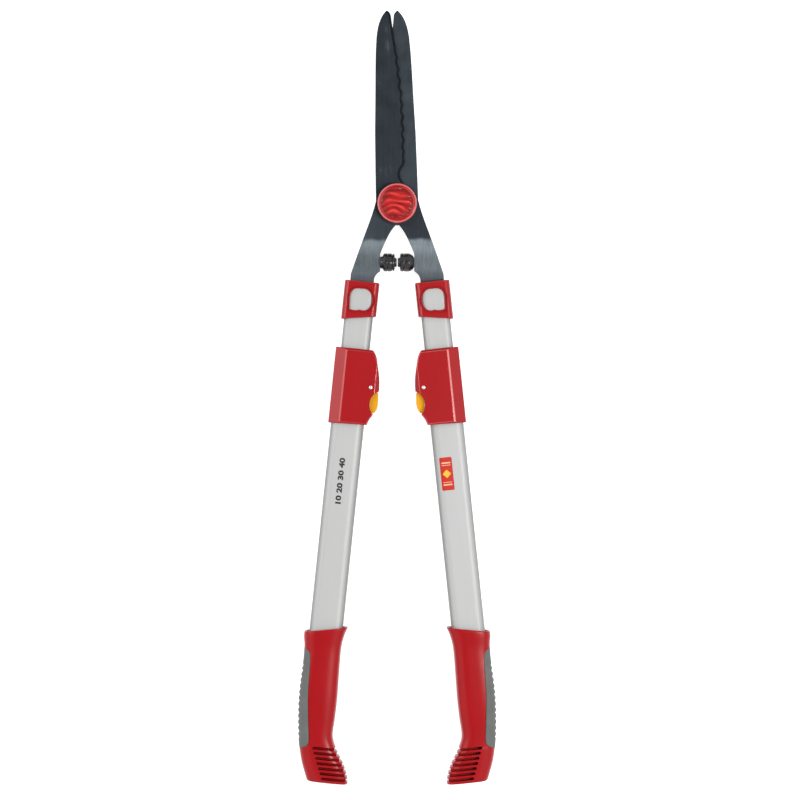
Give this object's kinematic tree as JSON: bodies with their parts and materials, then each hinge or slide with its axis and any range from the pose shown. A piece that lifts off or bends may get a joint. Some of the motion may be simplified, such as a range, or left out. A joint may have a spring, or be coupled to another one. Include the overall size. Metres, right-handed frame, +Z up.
{
  "type": "hedge shears",
  "caption": "Telescopic hedge shears with wavy steel blades, oval aluminium handles, red plastic grips and lock housings.",
  "frame": {"origin": "bottom centre of the bounding box, the tool lying flat on its lock housings and grips", "axes": "+Y from the grips towards the blade tips, +Z up along the pivot bolt towards the adjusting knob, +X to the right handle"},
  "size_m": [0.198, 0.7736, 0.0375],
  "materials": {
    "blade_steel": "satin non-stick coating",
    "plated_steel": "zinc plated",
    "bearing_bronze": "plain bearing bronze",
    "brass": "machined",
    "anodised_tube": "satin anodised",
    "red_plastic": "moulded, semi-gloss",
    "grey_rubber": "soft-touch",
    "black_rubber": "matt",
    "black_plastic": "moulded",
    "yellow_plastic": "moulded"
  },
  "bodies": {
    "rear_lever": {"rear_blade": "blade_steel", "blade_washer": "bearing_bronze", "pivot_bolt": "plated_steel", "thrust_washer": "plated_steel", "spring_washer": "plated_steel", "bumper_left": "black_rubber", "collar_left": "red_plastic", "tang_socket_left": "black_plastic", "tang_pin_left": "plated_steel", "inner_tube_left": "anodised_tube", "glide_left": "black_plastic"},
    "front_lever": {"front_blade": "blade_steel", "pivot_bush": "bearing_bronze", "bumper_right": "black_rubber", "collar_right": "red_plastic", "tang_socket_right": "black_plastic", "tang_pin_right": "plated_steel", "inner_tube_right": "anodised_tube", "glide_right": "black_plastic"},
    "knob": {"knob": "red_plastic", "knob_insert": "brass"},
    "lower_handle_left": {"outer_tube_left": "anodised_tube", "guide_bush_left": "black_plastic", "tube_plug_left": "black_plastic", "housing_front_left": "red_plastic", "housing_rear_left": "red_plastic", "housing_screws_left": "plated_steel", "lever_pin_left": "plated_steel", "lock_spring_left": "plated_steel", "grip_left": "red_plastic", "grip_inlay_left": "grey_rubber"},
    "lower_handle_right": {"outer_tube_right": "anodised_tube", "guide_bush_right": "black_plastic", "tube_plug_right": "black_plastic", "housing_front_right": "red_plastic", "housing_rear_right": "red_plastic", "housing_screws_right": "plated_steel", "lever_pin_right": "plated_steel", "lock_spring_right": "plated_steel", "grip_right": "red_plastic", "grip_inlay_right": "grey_rubber"},
    "lock_left": {"lock_lever_left": "yellow_plastic", "lock_tooth_left": "plated_steel"},
    "lock_right": {"lock_lever_right": "yellow_plastic", "lock_tooth_right": "plated_steel"}
  },
  "joints": [
    {"name": "blade_pivot", "type": "hinge", "parent": "rear_lever", "child": "front_lever", "pos_m": [0, 0.19324, 0.016], "axis": [0, 0, 1], "range_deg": [0, 55]},
    {"name": "knob_turn", "type": "hinge", "parent": "rear_lever", "child": "knob", "pos_m": [0, 0.19324, 0.016], "axis": [0, 0, 1], "range_deg": [-90, 180]},
    {"name": "telescope_left", "type": "slide", "parent": "rear_lever", "child": "lower_handle_left", "axis": [-0.1035, -0.9946, 0], "range_m": [0, 0.225]},
    {"name": "telescope_right", "type": "slide", "parent": "front_lever", "child": "lower_handle_right", "axis": [0.1035, -0.9946, 0], "range_m": [0, 0.225]},
    {"name": "lock_left_press", "type": "hinge", "parent": "lower_handle_left", "child": "lock_left", "pos_m": [-0.02629, 0.00971, 0.016], "axis": [0, 0, -1], "range_deg": [0, 7.5], "stiffness_Nm_per_rad": 0.3, "springref_deg": -5.73, "deforming": ["lock_spring_left"]},
    {"name": "lock_right_press", "type": "hinge", "parent": "lower_handle_right", "child": "lock_right", "pos_m": [0.02629, 0.00971, 0.016], "axis": [0, 0, 1], "range_deg": [0, 7.5], "stiffness_Nm_per_rad": 0.3, "springref_deg": -5.73, "deforming": ["lock_spring_right"]}
  ]
}
